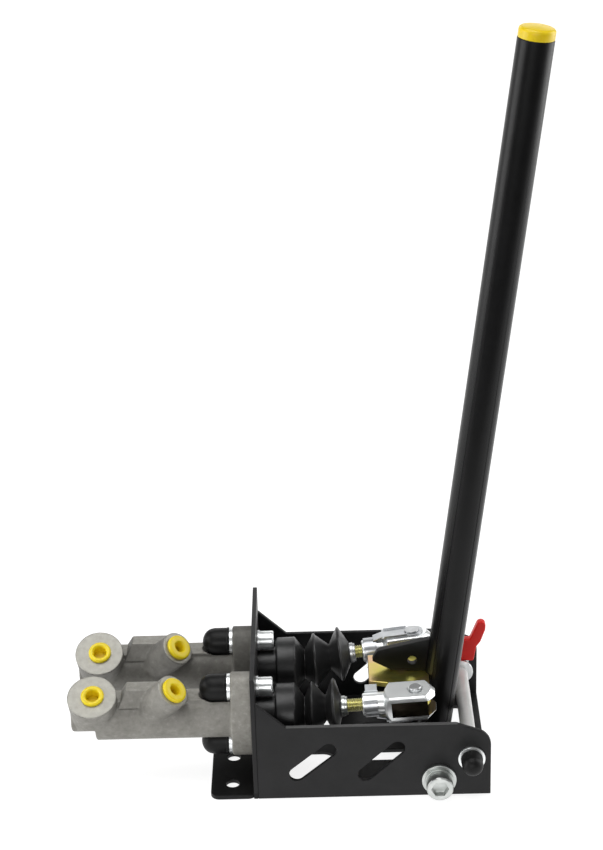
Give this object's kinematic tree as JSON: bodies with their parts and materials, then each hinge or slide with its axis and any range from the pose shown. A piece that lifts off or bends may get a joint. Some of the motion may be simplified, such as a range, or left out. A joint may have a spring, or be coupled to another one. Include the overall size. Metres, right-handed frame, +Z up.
{
  "type": "hydraulic hand brake lever",
  "caption": "Vertical hydraulic hand brake lever on a folded sheet base, pushing paired master cylinders through a yoke, clevises and booted push rods, with a flip-over lock.",
  "frame": {"origin": "on the underside of the base, on the centre plane, at the front face of the cylinder plate", "axes": "+X from the cylinders to the lever, +Y to the side that carries the lock, +Z up"},
  "size_m": [0.32, 0.1566, 0.5035],
  "materials": {
    "black_powder_coat": "satin black powder coat",
    "cast_alloy": "bead-blasted cast aluminium with machined port faces",
    "turned_alloy": "turned aluminium",
    "spacer_alloy": "drawn aluminium tube, matt",
    "bright_zinc_steel": "bright zinc plated steel",
    "spring_steel": "zinc plated spring steel",
    "yellow_zinc_steel": "yellow passivated zinc plated steel",
    "black_rubber": "matt black rubber",
    "black_plastic": "black polyethylene cap",
    "yellow_plastic": "yellow polyethylene plug",
    "red_vinyl": "red dipped vinyl",
    "bronze": "sintered bronze"
  },
  "bodies": {
    "bracket": {"base_tray": "black_powder_coat", "front_plate": "black_powder_coat", "near_cylinder": "cast_alloy", "far_cylinder": "cast_alloy", "flange_bolts": "bright_zinc_steel", "flange_washers": "bright_zinc_steel", "flange_nuts": "bright_zinc_steel", "nut_caps": "black_plastic", "front_port_plugs": "yellow_plastic", "angled_port_plugs": "yellow_plastic", "stop_washers": "spring_steel", "circlips": "spring_steel", "near_return_spring": "spring_steel", "far_return_spring": "spring_steel", "near_boot": "black_rubber", "far_boot": "black_rubber", "pivot_bolt": "bright_zinc_steel", "pivot_washers": "bright_zinc_steel", "pivot_spring_washer": "bright_zinc_steel", "pivot_nut": "bright_zinc_steel", "pivot_shims": "bright_zinc_steel", "rear_cross_bolt": "bright_zinc_steel", "rear_spacer_tube": "spacer_alloy", "rear_end_spacer": "spacer_alloy", "rear_washers": "bright_zinc_steel", "rear_nut": "bright_zinc_steel", "rear_nut_cap": "black_plastic"},
    "lever": {"lever_tube": "black_powder_coat", "lever_top_cap": "yellow_plastic", "pivot_sleeve": "black_powder_coat", "pivot_bushes": "bronze", "lever_arm": "black_powder_coat", "yoke_plate": "yellow_zinc_steel", "lock_sector": "black_powder_coat"},
    "near_piston_body": {"near_piston": "turned_alloy", "near_piston_seals": "black_rubber"},
    "far_piston_body": {"far_piston": "turned_alloy", "far_piston_seals": "black_rubber"},
    "near_rod_body": {"near_pushrod": "yellow_zinc_steel", "near_rod_collar": "bright_zinc_steel", "near_clevis": "bright_zinc_steel", "near_clevis_pin": "bright_zinc_steel", "near_clevis_clip": "spring_steel"},
    "far_rod_body": {"far_pushrod": "yellow_zinc_steel", "far_rod_collar": "bright_zinc_steel", "far_clevis": "bright_zinc_steel", "far_clevis_pin": "bright_zinc_steel", "far_clevis_clip": "spring_steel"},
    "lock": {"lock_lever": "bright_zinc_steel", "lock_grip": "red_vinyl"}
  },
  "joints": [
    {"name": "lever_pull", "type": "hinge", "parent": "bracket", "child": "lever", "pos_m": [0.1236, 0, 0.013], "axis": [0, -1, 0], "range_deg": [0, 16], "stiffness_Nm_per_rad": 6, "springref_deg": -1.15, "deforming": ["near_boot", "far_boot", "near_return_spring", "far_return_spring"]},
    {"name": "near_piston_slide", "type": "slide", "parent": "bracket", "child": "near_piston_body", "axis": [-1, 0, 0], "range_m": [0, 0.0128]},
    {"name": "far_piston_slide", "type": "slide", "parent": "bracket", "child": "far_piston_body", "axis": [-1, 0, 0], "range_m": [0, 0.0128]},
    {"name": "near_rod_tilt", "type": "hinge", "parent": "near_piston_body", "child": "near_rod_body", "pos_m": [-0.006, -0.0305, 0.047], "axis": [0, 1, 0], "range_deg": [0, 2.5]},
    {"name": "far_rod_tilt", "type": "hinge", "parent": "far_piston_body", "child": "far_rod_body", "pos_m": [-0.006, 0.0305, 0.047], "axis": [0, 1, 0], "range_deg": [0, 2.5]},
    {"name": "lock_flip", "type": "hinge", "parent": "bracket", "child": "lock", "pos_m": [0.1452, 0.0505, 0.0286], "axis": [0, -1, 0], "range_deg": [0, 28]}
  ],
  "couplings": [
    {"joint": "near_piston_slide", "follows": "lever_pull", "m_per_rad": 0.04505},
    {"joint": "far_piston_slide", "follows": "lever_pull", "m_per_rad": 0.04505},
    {"joint": "near_rod_tilt", "follows": "lever_pull", "ratio": 0.1463},
    {"joint": "far_rod_tilt", "follows": "lever_pull", "ratio": 0.1463}
  ]
}
